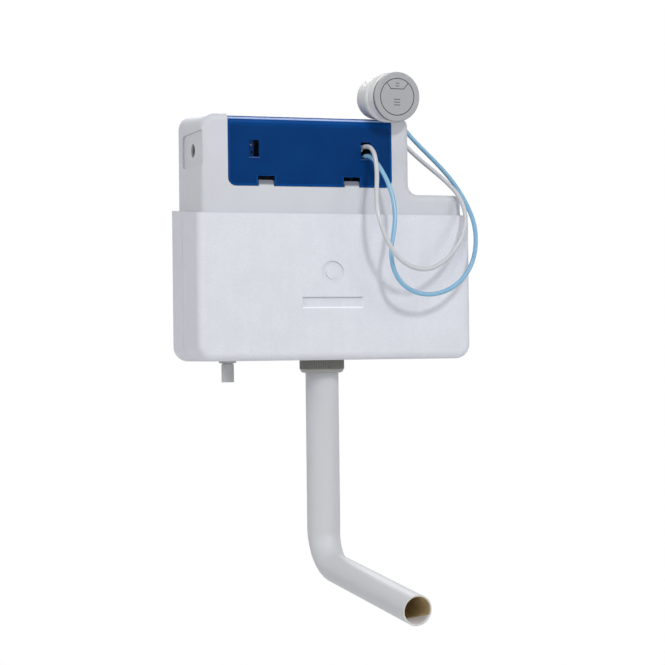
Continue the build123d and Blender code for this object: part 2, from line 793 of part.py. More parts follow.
def folded(radius, wall, depth, count, low, high):
    """The (radius, z) outline of a closed-top rubber bellows."""
    pitch = (high - low) / count
    outside = []
    for i in range(count):
        outside.append((radius, low + pitch * i))
        outside.append((radius - depth, low + pitch * (i + 0.5)))
    outside.append((radius, high))
    inside = [(r - wall, z) for r, z in reversed(outside)]
    inside[0] = (radius - wall, high - wall)
    return outside + [(0, high), (0, high - wall)] + inside


def make_lifters(crown_base):
    """The clamp with two air cups beside the tower, their bellows and the two lifters."""
    cup_low = rise(cup_rise)
    cup_high = cup_low + cup_height
    cup_floor = cup_low + cup_wall
    clamp_low = cup_low + cup_wall
    clamp_high = clamp_low + clamp_height
    clamp_bore = tower_radius + pin_gap
    housing = ring(outlet_x, middle_y, clamp_low, clamp_high, clamp_bore + clamp_wall, clamp_bore)
    boss_top = rise(tube_start_rise)
    for side in (-1, 1):
        x = outlet_x + side * lifter_offset
        web = sorted((outlet_x + side * (clamp_bore + clamp_wall / 2), x))
        housing += block(*web, middle_y - clamp_wall, middle_y + clamp_wall, clamp_low, clamp_high)
        housing += rod(x, middle_y, cup_low, cup_high, cup_radius)
        housing += block(x - air_boss_length / 2, x + air_boss_length / 2,
                         barb_y - air_boss_length / 2, middle_y, boss_top - air_boss_height,
                         boss_top)
        housing += rod(x, barb_y, boss_top, boss_top + spigot_tip_length, spigot_tip_radius)
    for side in (-1, 1):
        x = outlet_x + side * lifter_offset
        housing -= rod(x, middle_y, cup_floor, cup_high + overrun, cup_radius - cup_wall)
    save("lifter_housing", housing)
    foot_low = cup_floor + bellows_height
    foot_high = foot_low + lifter_foot_height
    for name, side, lift in (("full_flush", 1, 0), ("half_flush", -1, half_lift)):
        x = outlet_x + side * lifter_offset
        outline = folded(bellows_radius, bellows_wall, bellows_fold_depth, bellows_fold_count,
                         cup_floor, foot_low)
        save(f"{name}_bellows", turned(x, middle_y, outline))
        arm_high = crown_base - contact_gap - lift
        arm_low = arm_high - lifter_arm_height
        lifter = rod(x, middle_y, foot_low, foot_high, lifter_foot_radius)
        lifter += rod(x, middle_y, foot_high, arm_high, lifter_stem_radius)
        arm = sorted((outlet_x, x + side * lifter_stem_radius))
        half = lifter_arm_width / 2
        bar = block(*arm, middle_y - half, middle_y + half, arm_low, arm_high)
        lifter += bar - rod(outlet_x, middle_y, arm_low - overrun, arm_high + overrun,
                            overflow_radius + 2 * slide_gap)
        save(f"{name}_lifter", lifter)


def button_place():
    """Where the button's face lies: u to its right, v up it, and w out of it."""
    nose = radians(slope_angle)
    turn = radians(button_turn_angle)
    edge_y = tank_front + tank_edge_radius
    edge_z = neck_top - tank_edge_radius * (1 - sin(nose)) / cos(nose)
    setback = edge_y - button_y
    lean = cover_right + cover_gap - (button_x - setback * tan(turn))
    reach = sqrt(barrel_radius ** 2 - lean ** 2) + tank_edge_radius + button_rest_gap
    face_z = edge_z + (reach - setback * sin(nose)) / cos(nose)
    out = Vector(sin(turn) * cos(nose), -cos(turn) * cos(nose), -sin(nose))
    return Plane(origin=(button_x, button_y, face_z), x_dir=(cos(turn), sin(turn), 0), z_dir=out)


def wedge_face(grow):
    """The outline of the half-flush button, a piece of the round opening's upper side."""
    radius = bezel_bore - button_gap
    disc = Circle(radius)
    keep = make_face(Polyline(
        (-half_low_u - grow, half_low_v - grow),
        (half_low_u + grow, half_low_v - grow),
        (half_high_u + grow, half_high_v - grow),
        (half_high_u + grow, bezel_radius),
        (-half_high_u - grow, bezel_radius),
        (-half_high_u - grow, half_high_v - grow),
        close=True))
    return disc & keep


def make_button(place):
    """The push button: bezel, two plates, gasket, nut, barrel, air pumps, springs and end cap."""
    bezel = ring(0, 0, -bezel_height, 0, bezel_radius, bezel_bore)
    rim = bezel.edges().filter_by(GeomType.CIRCLE).group_by(Axis.Z)[-1].sort_by(SortBy.RADIUS)[-1]
    bezel = fillet(rim, bezel_edge_radius)
    bezel += ring(0, 0, -bezel_height - bezel_skirt_height, -bezel_height,
                  barrel_bore - thread_gap, bezel_bore)
    save("button_bezel", place * bezel)
    upper = wedge_face(0)
    lower = Circle(bezel_bore - button_gap) - wedge_face(button_gap)
    pump_low = -barrel_length + barrel_end_wall
    stem_end = -pump_front
    stems = (("full_flush", -pump_offset, -pump_offset, lower),
             ("half_flush", pump_offset, half_stem_v, upper))
    icon_cut = 2 * icon_depth
    for name, pump_v, stem_v, face in stems:
        plate = Pos(0, 0, -button_height) * extrude(face, button_height)
        plate += rod(0, stem_v, stem_end, -button_height, stem_radius)
        plate += rod(0, pump_v, stem_end, stem_end + stem_foot_height, stem_foot_radius)
        if pump_v < 0:
            marks = [(-icon_drop + icon_pitch * i, icon_length) for i in (-1, 0, 1)]
        else:
            marks = [(half_icon_v + icon_pitch / 2 * i, half_icon_length) for i in (-1, 1)]
        for v, length in marks:
            plate -= Pos(0, v, 0) * Box(length, icon_line, icon_cut)
        save(f"{name}_button", place * plate)
        outline = folded(pump_radius, pump_wall, pump_fold_depth, pump_fold_count, pump_low,
                         stem_end)
        save(f"{name}_pump", place * turned(0, pump_v, outline))
        spring_low = pump_low + spring_wire / 2
        spring_length = stem_end - pump_wall - spring_wire - pump_low
        helix = Helix(spring_length / spring_turns, spring_length, spring_radius)
        wire = sweep(Plane(origin=helix @ 0, z_dir=helix % 0) * Circle(spring_wire / 2),
                     path=helix, is_frenet=True)
        save(f"{name}_spring", place * (Pos(0, pump_v, spring_low) * wire))
    gasket_back = -bezel_height - gasket_height
    sleeve = barrel_radius + thread_gap
    save("button_gasket", place * ring(0, 0, gasket_back, -bezel_height, gasket_radius, sleeve))
    nut_back = gasket_back - clamp_nut_height
    flange_front = nut_back + clamp_flange_height
    nut = turned(0, 0, [
        (sleeve, gasket_back),
        (clamp_nut_radius, gasket_back),
        (clamp_nut_radius, flange_front),
        (clamp_flange_radius - clamp_flange_bevel, flange_front),
        (clamp_flange_radius, flange_front - clamp_flange_bevel),
        (clamp_flange_radius, nut_back + clamp_flange_bevel),
        (clamp_flange_radius - clamp_flange_bevel, nut_back),
        (sleeve, nut_back),
    ])
    save("button_clamp_nut", place * nut)
    barrel_end = -barrel_length + barrel_end_wall
    save("button_barrel", place * ring(0, 0, barrel_end, -bezel_height, barrel_radius,
                                       barrel_bore))
    cap = rod(0, 0, -barrel_length, barrel_end, barrel_radius)
    rim = cap.edges().filter_by(GeomType.CIRCLE).sort_by(Axis.Z)[0]
    cap = fillet(rim, barrel_end_radius)
    for v in (-air_spigot_offset, air_spigot_offset):
        collar_end = -barrel_length - air_collar_height
        cap += rod(0, v, collar_end, -barrel_length, air_collar_radius)
        cap += rod(0, v, collar_end - spigot_tip_length, collar_end, spigot_tip_radius)
    save("button_end_cap", place * cap)


def air_tube(name, cup_x, spigot_v, route, place):
    """One soft air tube, pushed over a spigot at each end, on straight runs and tangent arcs."""
    start = Vector(cup_x, barb_y, rise(tube_start_rise))
    collar = -barrel_length - air_collar_height
    end = place.from_local_coords((0, spigot_v, collar))
    lead = place.from_local_coords((0, spigot_v, collar - air_lead))
    points = [start, start + Vector(0, 0, air_lead)]
    points += [Vector(*point) for point in route]
    points += [lead, end]
    radii = []
    for before, here, after in zip(points, points[1:], points[2:]):
        turn = radians((here - before).get_angle(after - here))
        shorter = min((here - before).length, (after - here).length)
        radii.append(0.45 * shorter / tan(turn / 2))
    path = FilletPolyline(*points, radius=radii)
    tube = sweep(Plane(origin=start, z_dir=(0, 0, 1)) * Circle(tube_radius), path=path)
    ideal = pi * tube_radius ** 2 * path.length
    print(name, "length", round(path.length, 1), "volume share", round(tube.volume / ideal, 4))
    print(name, "radii", [round(radius, 1) for radius in radii])
    print(name, "points", [tuple(round(value, 1) for value in point) for point in points])
    bore_length = spigot_tip_length + contact_gap
    tube -= rod(cup_x, barb_y, start.Z - overrun, start.Z + bore_length, tube_bore)
    tube -= place * rod(0, spigot_v, collar - bore_length, collar + overrun, tube_bore)
    save(name, tube)


# Routes of the air tubes between their straight leads, chosen by hand, in millimetres
blue_route = [
    (37, -90, -51),
    (40, -101, -35),
    (43, -115, -25),
    (45, -133, -21),
    (50, -145, -27),
    (57, -153, -41),
    (64, -160, -59),
    (69, -165, -79),
    (70, -170, -102),
    (66, -174, -126),
    (60, -177, -150),
    (62, -180, -175),
    (74, -182, -195),
    (94, -182, -206),
    (118, -180, -208),
    (143, -177, -201),
    (165, -172, -186),
    (182, -165, -164),
    (191, -156, -136),
    (193, -144, -108),
    (188, -129, -82),
    (179, -111, -55),
    (165, -93, -30),
    (149, -75, -7),
    (136, -57, 14),
    (125, -43, 36),
    (112, -34, 54),
    (96, -31, 67),
    (80, -38, 74),
    (71, -55, 75),
]
white_route = [
    (-33, -91, -48),
    (-20, -98, -31),
    (0, -104, -20),
    (24, -108, -13),
    (42, -119, -10),
    (46, -136, -9),
    (48, -150, -17),
    (47, -161, -31),
    (45, -170, -50),
    (41, -178, -72),
    (39, -184, -96),
    (43, -190, -120),
    (52, -193, -143),
    (67, -193, -163),
    (88, -191, -174),
    (112, -187, -175),
    (137, -181, -162),
    (158, -173, -142),
    (173, -163, -118),
    (178, -150, -94),
    (174, -135, -71),
    (164, -118, -53),
    (151, -101, -36),
    (139, -84, -20),
    (127, -66, -2),
    (120, -50, 17),
    (111, -38, 35),
    (97, -33, 47),
    (81, -38, 52),
    (71, -54, 53),
]

save("tank", make_tank())
front_half, rear_half = make_jacket()
save("insulation_front", front_half)
save("insulation_rear", rear_half)
save("access_cover", make_cover())
make_float(*make_fill_valve())
outlet_end, outlet_axis = make_flush_pipe()
crown_base_z = make_flush_valve(*make_outlet())
make_lifters(crown_base_z)
button_frame = button_place()
make_button(button_frame)
air_tube("air_tube_blue", outlet_x + lifter_offset, air_spigot_offset, blue_route, button_frame)
air_tube("air_tube_white", outlet_x - lifter_offset, -air_spigot_offset, white_route, button_frame)
print("flush pipe end", outlet_end, "axis", outlet_axis)
print("button face", button_frame.origin, "axis", button_frame.z_dir)
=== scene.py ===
# %% [markdown]
# # A concealed toilet cistern
# A plastic cistern hidden behind a wall panel, with foam round its tank, a blue access cover, a
# bent flush pipe and an air-operated push button on two soft tubes. The construction model is
# loaded as a fixed frame: it could be copied by eye, but then nothing would fit, so every new
# piece here is placed by the frame's own sizes.

# %% Load the frame
from math import pi, radians

import bpy
from mathutils import Matrix, Vector


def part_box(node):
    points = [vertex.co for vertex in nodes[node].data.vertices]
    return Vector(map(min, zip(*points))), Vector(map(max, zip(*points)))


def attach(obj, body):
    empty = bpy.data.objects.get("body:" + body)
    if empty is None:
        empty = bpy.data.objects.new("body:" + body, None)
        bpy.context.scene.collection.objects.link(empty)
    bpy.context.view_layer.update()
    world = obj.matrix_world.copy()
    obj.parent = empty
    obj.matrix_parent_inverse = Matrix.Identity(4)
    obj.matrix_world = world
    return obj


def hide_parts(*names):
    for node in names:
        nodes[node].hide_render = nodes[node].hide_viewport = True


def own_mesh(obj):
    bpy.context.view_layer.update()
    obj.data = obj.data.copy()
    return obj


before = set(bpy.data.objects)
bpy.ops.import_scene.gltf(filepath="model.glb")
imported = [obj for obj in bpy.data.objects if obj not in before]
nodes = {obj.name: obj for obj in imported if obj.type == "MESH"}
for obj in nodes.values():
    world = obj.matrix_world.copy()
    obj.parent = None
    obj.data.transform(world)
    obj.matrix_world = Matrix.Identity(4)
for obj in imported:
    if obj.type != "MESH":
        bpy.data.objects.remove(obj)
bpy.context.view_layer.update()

MM = 0.001
scene = bpy.context.scene

# %% [markdown]
# ## The camera
# The photograph was taken with a long lens, from a little left of the cistern and level with
# its middle. Straight edges of the jacket and the pipe give the camera's place. Turning the
# camera by eye would never match all of them at once, so the three directions are written down.

# %% Place the camera
camera_place = Vector((-0.8692, -2.6207, -0.2794))
camera_right = Vector((0.94477, -0.32754, -0.01168))
camera_up = Vector((0.00810, -0.01228, 0.99989))
camera_back = Vector((-0.32765, -0.94476, -0.008949))
camera_data = bpy.data.cameras.new("photograph_camera")
camera_data.sensor_width = 36.0
camera_data.lens = 108.27
camera_data.clip_start = 0.05
camera_data.clip_end = 60.0
camera = bpy.data.objects.new("photograph_camera", camera_data)
scene.collection.objects.link(camera)
turned = Matrix((camera_right, camera_up, camera_back)).transposed()
camera.matrix_world = Matrix.Translation(camera_place) @ turned.to_4x4()
scene.camera = camera
print("camera looks along", [round(-v, 4) for v in camera_back])

# %% [markdown]
# ## Materials as expressions
# A material is a small program of nodes. Linking them by hand is slow to read, so a wrapped
# socket here takes part in plain sums: `1 - mask * 0.3` adds the Math nodes itself.

# %% A socket that can be added and multiplied
class Value:
    """An output socket that takes part in Python sums."""

    def __init__(self, finish, socket):
        self.finish = finish
        self.socket = socket

    def __add__(self, other):
        return self.finish.math("ADD", self, other)

    def __radd__(self, other):
        return self.finish.math("ADD", other, self)

    def __sub__(self, other):
        return self.finish.math("SUBTRACT", self, other)

    def __rsub__(self, other):
        return self.finish.math("SUBTRACT", other, self)

    def __mul__(self, other):
        return self.finish.math("MULTIPLY", self, other)

    def __rmul__(self, other):
        return self.finish.math("MULTIPLY", other, self)

    def __truediv__(self, other):
        return self.finish.math("DIVIDE", self, other)

    def __pow__(self, other):
        return self.finish.math("POWER", self, other)

    def size(self):
        """The value without its sign."""
        return self.finish.math("ABSOLUTE", self)

    def clear(self, low, high):
        """0 below low, 1 above high and a smooth step between."""
        settings = {"interpolation_type": "SMOOTHSTEP"}
        sockets = {"Value": self, "From Min": low, "From Max": high}
        return self.finish.node("ShaderNodeMapRange", settings, sockets)


# %% [markdown]
# ## One class for a finish
# Everything that isn't a sum goes through one method, which sets a node's settings and then its
# sockets. Each finish starts from a Principled shader and the object's own coordinates, so that
# sizes are real millimetres and a pattern moves with its piece.

# %% A finish that builds its own nodes
class Finish:
    """One material, on a Principled shader, in the object's own metres."""

    def __init__(self, name, roughness, metallic=0.0, **constants):
        self.material = bpy.data.materials.new(name)
        self.material.use_nodes = True
        self.tree = self.material.node_tree
        self.shader = self.tree.nodes["Principled BSDF"]
        self.shader.inputs["Roughness"].default_value = roughness
        self.shader.inputs["Metallic"].default_value = metallic
        for socket, value in constants.items():
            self.shader.inputs[socket.replace("_", " ")].default_value = value
        self.place = self.node("ShaderNodeTexCoord", {}, {}, "Object")

    def node(self, kind, settings, sockets, output=0):
        """Any node: its settings first, then the values or links of its sockets."""
        made = self.tree.nodes.new(kind)
        for name, value in settings.items():
            setattr(made, name, value)
        for key, value in sockets.items():
            if isinstance(value, Value):
                self.tree.links.new(value.socket, made.inputs[key])
            else:
                made.inputs[key].default_value = value
        return Value(self, made.outputs[output])

    def math(self, operation, first, second=0.0):
        """One Math node."""
        return self.node("ShaderNodeMath", {"operation": operation}, {0: first, 1: second})

    def vector(self, operation, first, second=(0.0, 0.0, 0.0), output=0):
        """One Vector Math node, for places and directions."""
        settings = {"operation": operation}
        return self.node("ShaderNodeVectorMath", settings, {0: first, 1: second}, output)

    def parts(self, place):
        """The X, Y and Z of a place or a direction."""
        return [self.node("ShaderNodeSeparateXYZ", {}, {0: place}, axis) for axis in "XYZ"]

    def tilt(self):
        """How far the surface faces up: 1 for a top, 0 for a side, -1 for an underside."""
        facing = self.node("ShaderNodeNewGeometry", {}, {}, "Normal")
        return self.node("ShaderNodeSeparateXYZ", {}, {0: facing}, "Z")

    def noise(self, size_mm, detail=2.0, stretch=(1.0, 1.0, 1.0)):
        """Soft random values from 0 to 1, with lumps of about that size."""
        spot = self.node("ShaderNodeMapping", {}, {0: self.place, 3: stretch})
        sockets = {"Vector": spot, "Scale": 1.0 / (size_mm * MM), "Detail": detail}
        return self.node("ShaderNodeTexNoise", {}, sockets)

    def mix(self, factor, first, second):
        """A colour between two colours."""
        colours = [c if isinstance(c, Value) else (*c, 1.0) for c in (first, second)]
        sockets = {0: factor, 6: colours[0], 7: colours[1]}
        return self.node("ShaderNodeMix", {"data_type": "RGBA"}, sockets, 2)

    def bump(self, height, depth_mm, strength=1.0, normal=None):
        """A normal that makes a height from 0 to 1 look that deep."""
        sockets = {"Height": height, "Distance": depth_mm * MM, "Strength": strength}
        if normal is not None:
            sockets["Normal"] = normal
        return self.node("ShaderNodeBump", {}, sockets)

    def drive(self, **links):
        """Link values to the shader, such as Base_Color=mix."""
        for name, value in links.items():
            self.tree.links.new(value.socket, self.shader.inputs[name.replace("_", " ")])
        return self.material


def times(colour, share, lift=0.0):
    """A colour made darker or paler, and never brighter than white."""
    return tuple(min(1.0, v * share + lift) for v in colour)


print("half as bright a blue is", times((0.2, 0.4, 0.6), 0.5))

# %% [markdown]
# ## Expanded foam
# The jacket is polystyrene beads, blown and pressed together by steam: a closed surface of
# flattened beads three or four millimetres wide, each a touch brighter or duller than the next,
# with a fine dark seam where they meet. A picture of beads would repeat and stretch round the
# corners, so Voronoi cells in real millimetres make them, and their distance to the edge gives
# both the seam's colour and its relief.
#
# A round mark and a long panel are sunk in the jacket's front. Their walls that face down get
# painted shade and look dark, and those that face up get a painted highlight and look white.
# Deeper marks would show this by light alone, but these are shallow, so a window round them and
# the tilt of the surface find the edges, and the painted shade and highlight go into their colour.

# %% Foam finish
bead_size = 3.6 * MM
foam_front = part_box("insulation_front")[0][1]
mark_middle = -7.0 * MM
mark_half_width = 67.0 * MM
mark_low = -236.0 * MM
mark_high = -158.0 * MM
mark_depth = 3.0 * MM


def mark_window(foam):
    """1 on the sunk marks of the jacket's front, 0 elsewhere."""
    across, deep, high = foam.parts(foam.place)
    aside = (across - mark_middle).size()
    window = 1 - aside.clear(mark_half_width - 1 * MM, mark_half_width + 1 * MM)
    window = window * high.clear(mark_low, mark_low + 1 * MM)
    window = window * (1 - high.clear(mark_high - 1 * MM, mark_high))
    return window * (1 - deep.clear(foam_front + mark_depth, foam_front + mark_depth + 1 * MM))


def make_foam(name, pale, shade):
    foam = Finish(name, 0.7, Specular_IOR_Level=0.3)
    cells = {"Vector": foam.place, "Scale": 1.0 / bead_size, "Randomness": 0.95}
    edge = foam.node("ShaderNodeTexVoronoi", {"feature": "DISTANCE_TO_EDGE"}, cells)
    tint = foam.node("ShaderNodeTexVoronoi", {"feature": "F1"}, cells, "Color")
    bead_tone = foam.node("ShaderNodeSeparateColor", {}, {0: tint})
    seam = edge.clear(0.0, 0.10)
    cloud = foam.noise(34.0, 4.0)
    streak = foam.noise(9.0, 2.0, stretch=(1.0, 1.0, 0.12))
    tone = bead_tone * 0.12 + cloud * 0.6 + streak * 0.28
    body = foam.mix(tone.clear(0.2, 0.8), shade, pale)
    pits = foam.noise(1.9, 1.0).clear(0.72, 0.82)
    colour = foam.mix(seam * (1 - pits * 0.6), shade, body)
    window = mark_window(foam)
    upward = foam.tilt()
    # Painted shade on the marks' walls that face down, and a painted highlight on those that face
    # up.
    painted_under_shade = window * (0 - upward).clear(0.15, 0.6) * 0.7
    painted_highlight = window * upward.clear(0.15, 0.6) * 0.75
    colour = foam.mix(painted_under_shade, colour, times(shade, 0.6))
    colour = foam.mix(painted_highlight, colour, times(pale, 1.2))
    relief = seam * 0.5 + bead_tone * 0.3 - pits * 0.6
    dents = foam.bump(foam.noise(15.0, 3.0), 0.35, 0.22)
    return foam.drive(Base_Color=colour, Roughness=0.66 + 0.12 * bead_tone,
                      Normal=foam.bump(relief, 0.04, 0.16, dents))


foam_finish = make_foam("expanded_foam", (0.735, 0.748, 0.805), (0.665, 0.68, 0.74))
print("foam beads", round(bead_size / MM, 2), "mm wide")

# %% [markdown]
# ## Moulded plastics
# Most other pieces are moulded plastic: a fine grain from the mould, a colour that clouds a
# little where the plastic flowed, and shallow scuffs that only change the gloss. Without those the
# surface would look like paint. One function makes them all, from a colour and a polish.

# %% Moulded plastic
def make_plastic(name, colour, roughness):
    plastic = Finish(name, roughness)
    clouds = plastic.noise(38.0, 4.0)
    scuffs = plastic.noise(1.6, 3.0, stretch=(1.0, 5.0, 1.0)).clear(0.6, 0.78)
    body = plastic.mix(clouds.clear(0.3, 0.7), times(colour, 0.95), times(colour, 1.05))
    grain = plastic.bump(plastic.noise(0.45, 2.0), 0.03, 0.6)
    return plastic.drive(Base_Color=body,
                         Roughness=roughness - 0.05 + clouds * 0.08 + scuffs * 0.07,
                         Normal=plastic.bump(plastic.noise(14.0, 2.0), 0.24, 0.25, grain))


white_finish = make_plastic("valve_white_acetal", (0.74, 0.75, 0.76), 0.38)
grey_finish = make_plastic("valve_grey_acetal", (0.21, 0.225, 0.25), 0.42)
blue_finish = make_plastic("valve_blue_acetal", (0.02, 0.10, 0.34), 0.40)
barrel_finish = make_plastic("barrel_white_abs", (0.72, 0.72, 0.725), 0.40)
print("materials so far", len(bpy.data.materials))

# %% [markdown]
# ## The tank's polyethylene
# The tank is blow-moulded: a tube of soft plastic is blown against a cold mould, so its skin is
# waxy, faintly rippled and a little cloudy where it has stretched. Behind the cover's notches
# the two catches get painted shade, placed by the cover's own box.

# %% Tank finish
cover_low, cover_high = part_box("access_cover")
catch_low = cover_low[2]
catch_high = cover_low[2] + 15.0 * MM
catch_places = (-94.0 * MM, 24.5 * MM)
catch_half_width = 11.0 * MM
catch_back = cover_low[1] + 14.0 * MM


def make_tank(name, colour, shade):
    tank = Finish(name, 0.46, Specular_IOR_Level=0.4)
    across, deep, high = tank.parts(tank.place)
    clouds = tank.noise(52.0, 4.0)
    cold = tank.noise(17.0, 3.0, stretch=(1.0, 1.0, 0.35))
    cloudy = (clouds * 0.6 + cold * 0.4).clear(0.3, 0.7)
    skin = tank.mix(cloudy, times(colour, 0.965), colour)
    # Painted shade on the two catches behind the cover's notches, found by their place.
    level = high.clear(catch_low - 0.4 * MM, catch_low + 3.4 * MM)
    level = level * (1 - high.clear(catch_high, catch_high + 1.0 * MM))
    beside = [1 - (across - place).size().clear(catch_half_width, catch_half_width + 1.0 * MM)
              for place in catch_places]
    front = 1 - deep.clear(catch_back, catch_back + 6.0 * MM)
    catch_shade = (beside[0] + beside[1]) * level * front
    ripple = tank.bump(tank.noise(24.0, 3.0), 0.6, 0.25)
    return tank.drive(Base_Color=tank.mix(catch_shade * 0.93, skin, shade),
                      Roughness=0.42 + clouds * 0.09,
                      Normal=tank.bump(tank.noise(0.9, 2.0), 0.05, 0.5, ripple))


tank_finish = make_tank("tank_polyethylene", (0.585, 0.60, 0.645), (0.11, 0.125, 0.16))
print("cover's lower edge at", round(cover_low[2], 4), "m")

# %% [markdown]
# ## The blue cover
# The cover is injection-moulded and polished, so its colour is deep and its gloss thin. The
# rounded upper edge and the raised border get a painted highlight, and the slots get painted shade
# inside. The highlight follows the shape, so it is found by how far the surface is tilted up, and
# broken by noise. How deep a place lies behind the cover's front tells the border and the slots
# apart.

# %% Cover finish
border_depth = 0.25 * MM
slot_depth = 1.1 * MM
cover_bend = cover_high[2] - 20.0 * MM


def make_cover(name, colour, painted_highlight, shade):
    cover = Finish(name, 0.26, Specular_IOR_Level=0.06)
    tilt = cover.tilt()
    deep, high = cover.parts(cover.place)[1:]
    # A painted highlight on the rounded upper edge and the raised border, and painted shade in the
    # slots.
    edge = tilt.clear(0.42, 0.56) * (1 - tilt.clear(0.66, 0.82))
    border = cover_low[1] + border_depth
    slot = cover_low[1] + slot_depth
    proud = 1 - deep.clear(border, border + 0.2 * MM)
    recess_shade = deep.clear(slot, slot + 0.5 * MM) * (1 - high.clear(cover_bend, cover_bend + 3 * MM))
    patchy = cover.noise(9.0, 3.0)
    clouds = cover.noise(44.0, 4.0)
    body = cover.mix(clouds.clear(0.3, 0.7), times(colour, 0.9), colour)
    haze = cover.noise(26.0, 2.0).clear(0.56, 0.75)
    body = cover.mix(haze * 0.12, body, times(colour, 1.5, 0.006))
    highlighted = cover.mix(edge * (0.75 + patchy * 0.25) + proud * 0.07, body, painted_highlight)
    ripple = cover.bump(cover.noise(16.0, 2.0), 0.10, 0.25)
    return cover.drive(Base_Color=cover.mix(recess_shade * 0.7, highlighted, shade),
                       Roughness=0.24 + clouds * 0.07 + patchy * 0.04,
                       Normal=cover.bump(cover.noise(0.5, 2.0), 0.012, 0.6, ripple))


cover_finish = make_cover("cover_blue_abs", (0.0002, 0.056, 0.245), (0.48, 0.60, 0.90),
                          (0.0, 0.010, 0.05))
print("cover", [round((high - low) / MM) for low, high in zip(cover_low, cover_high)], "mm")

# %% [markdown]
# ## The inlet tail's thread
# The supply pipe's nut screws onto the tail, so the tail carries a G3/8 thread of 1.337 mm pitch.
# A Screw modifier could cut it, but the tail is one moulding with the valve's long riser inside
# the tank. The thread is so fine that a helical wave in the relief, kept to the part below the
# jacket, gives the same look: height along the axis plus the turn about it, folded to a tooth.
# The wave's grooves also get painted shade.

# %% Tail finish
tail_low, tail_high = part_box("fill_valve_body")
tail_axis = ((tail_low[0] + tail_high[0]) / 2, (tail_low[1] + tail_high[1]) / 2, 0.0)
thread_pitch = 1.337 * MM
thread_top = tail_low[2] + 21.0 * MM


def make_tail(name, colour):
    tail = Finish(name, 0.42)
    across, deep, high = tail.parts(tail.vector("SUBTRACT", tail.place, tail_axis))
    turn = tail.math("ARCTAN2", deep, across) / (2 * pi)
    tooth = tail.math("PINGPONG", high / thread_pitch + turn, 0.5)
    below = 1 - high.clear(thread_top - 0.4 * MM, thread_top)
    clouds = tail.noise(22.0, 3.0)
    body = tail.mix(clouds, times(colour, 0.94), colour)
    # Painted shade in the thread's grooves, below the jacket.
    shaded_thread = tail.mix(below * (1 - tooth.clear(0.05, 0.3)) * 0.5, body, times(colour, 0.7))
    grain = tail.bump(tail.noise(0.5, 2.0), 0.03, 0.5)
    return tail.drive(Base_Color=shaded_thread, Roughness=0.36 + clouds * 0.1,
                      Normal=tail.bump(tooth * below, 0.5, 0.7, grain))


tail_finish = make_tail("tail_nylon", (0.52, 0.525, 0.54))
print("tail thread", round(thread_pitch / MM, 3), "mm pitch, up to", round(thread_top, 4), "m")

# %% [markdown]
# ## The coupling nut
# The nut is a dull warm grey, ribbed for the hand. Its rounded foot is smooth and a little
# glossier, and its paler colour is a painted highlight. Two materials would leave a hard line
# where they meet, so one material changes softly with height. The grooves between the ribs get
# painted shade against their crests, which the distance from the nut's axis tells apart.

# %% Nut finish
nut_low, nut_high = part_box("flush_pipe_nut")
nut_foot_top = nut_low[2] + 5.6 * MM
nut_middle = ((nut_low[0] + nut_high[0]) / 2, (nut_low[1] + nut_high[1]) / 2, 0.0)
rib_floor = 29.2 * MM
rib_top = 30.0 * MM


def make_nut(name, colour, foot_highlight):
    nut = Finish(name, 0.5, Specular_IOR_Level=0.4)
    height = nut.parts(nut.place)[2]
    # The foot's paler colour is a painted highlight.
    foot = 1 - height.clear(nut_foot_top - 1.2 * MM, nut_foot_top + 0.2 * MM)
    flat = nut.vector("MULTIPLY", nut.vector("SUBTRACT", nut.place, nut_middle), (1.0, 1.0, 0.0))
    rib = nut.vector("LENGTH", flat, output="Value").clear(rib_floor, rib_top)
    clouds = nut.noise(16.0, 4.0)
    # Painted shade in the grooves between the ribs.
    side = nut.mix(clouds * 0.25 + rib * 0.75, times(colour, 0.62), colour)
    dust = nut.noise(0.9, 3.0).clear(0.55, 0.8)
    body = nut.mix(dust * 0.25, side, times(colour, 1.4))
    return nut.drive(Base_Color=nut.mix(foot, body, foot_highlight), Roughness=0.5 - foot * 0.1,
                     Normal=nut.bump(nut.noise(0.4, 2.0), 0.03, 0.5))


nut_finish = make_nut("nut_grey_nylon", (0.24, 0.238, 0.224), (0.40, 0.40, 0.388))
print("nut's foot ends at", round(nut_foot_top, 4), "m")

# %% [markdown]
# ## The flush pipe
# The pipe is extruded, then bent while warm. Extrusion leaves very fine lines along it, which
# noise drawn out along the pipe gives. Its inside is seen only at the mouth. It is brown beyond a
# painted shadow line, laid where the rim's shadow falls, and painted paler in front of it as
# painted light. A second material for the bore would need its faces picked by hand, so masks on
# the distance from the leg's own line and on the height in it colour the bore.

# %% Pipe finish
leg_start = Vector((0.0, -69.0, -564.0)) * MM
leg_direction = Vector((0.0745, -0.99078, -0.1132)).normalized()
leg_up = (Vector((0.0, 0.0, 1.0)) - leg_direction * leg_direction.z).normalized()
leg_length = 295.0 * MM
leg_bore = 17.35 * MM
bore_start = 90.0 * MM
shadow_line_level = -3.4 * MM
shadow_line_slope = 0.365


